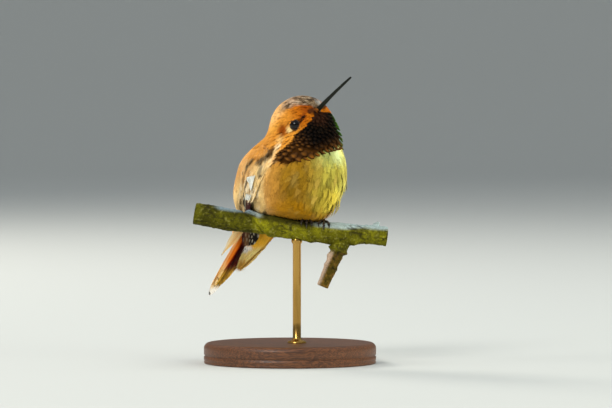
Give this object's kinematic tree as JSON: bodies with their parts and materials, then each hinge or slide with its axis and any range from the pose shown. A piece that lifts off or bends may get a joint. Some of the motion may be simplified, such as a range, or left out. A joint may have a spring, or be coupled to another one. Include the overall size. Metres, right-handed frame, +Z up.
{
  "type": "hummingbird model",
  "caption": "Male rufous hummingbird, fluffed up and looking up, gripping a short cut length of twig that a rod carries above a round base.",
  "frame": {"origin": "centre of the round base's underside", "axes": "+Z up, +X along the perch towards the bird's front, -Y towards the side that the bird's breast faces"},
  "size_m": [0.0564, 0.05, 0.0834],
  "materials": {
    "rufous_plumage": "matte overlapping feathers",
    "belly_plumage": "soft matte down-edged feathers",
    "gorget_plumage": "scale-like feathers, dark where they face away from the light",
    "flight_feathers": "smooth dark vanes",
    "tail_feathers": "smooth vanes",
    "horn": "smooth dark horn",
    "leg_skin": "fine scales",
    "eye": "wet gloss",
    "bark": "rough bark with a thin green film",
    "stand_wood": "satin varnish",
    "stand_brass": "polished"
  },
  "bodies": {
    "root": {"head": "rufous_plumage", "throat": "gorget_plumage", "neck": "belly_plumage", "trunk": "belly_plumage", "rump": "rufous_plumage", "bill_upper": "horn", "bill_lower": "horn", "eye_right": "eye", "wing_right_coverts": "rufous_plumage", "wing_right_primaries": "flight_feathers", "wing_right_secondaries": "flight_feathers", "leg_right": "leg_skin", "foot_right": "leg_skin", "claw_right_inner": "horn", "claw_right_middle": "horn", "claw_right_outer": "horn", "claw_right_hind": "horn", "eye_left": "eye", "wing_left_coverts": "rufous_plumage", "wing_left_primaries": "flight_feathers", "wing_left_secondaries": "flight_feathers", "leg_left": "leg_skin", "foot_left": "leg_skin", "claw_left_inner": "horn", "claw_left_middle": "horn", "claw_left_outer": "horn", "claw_left_hind": "horn", "tail_coverts_under": "belly_plumage", "tail_coverts_upper": "rufous_plumage", "tail_feather_right_1": "tail_feathers", "tail_feather_left_1": "tail_feathers", "tail_feather_right_2": "tail_feathers", "tail_feather_left_2": "tail_feathers", "tail_feather_right_3": "tail_feathers", "tail_feather_left_3": "tail_feathers", "tail_feather_right_4": "tail_feathers", "tail_feather_left_4": "tail_feathers", "tail_feather_right_5": "tail_feathers", "tail_feather_left_5": "tail_feathers", "perch": "bark", "stand_base": "stand_wood", "stand_rod": "stand_brass"}
  },
  "joints": []
}
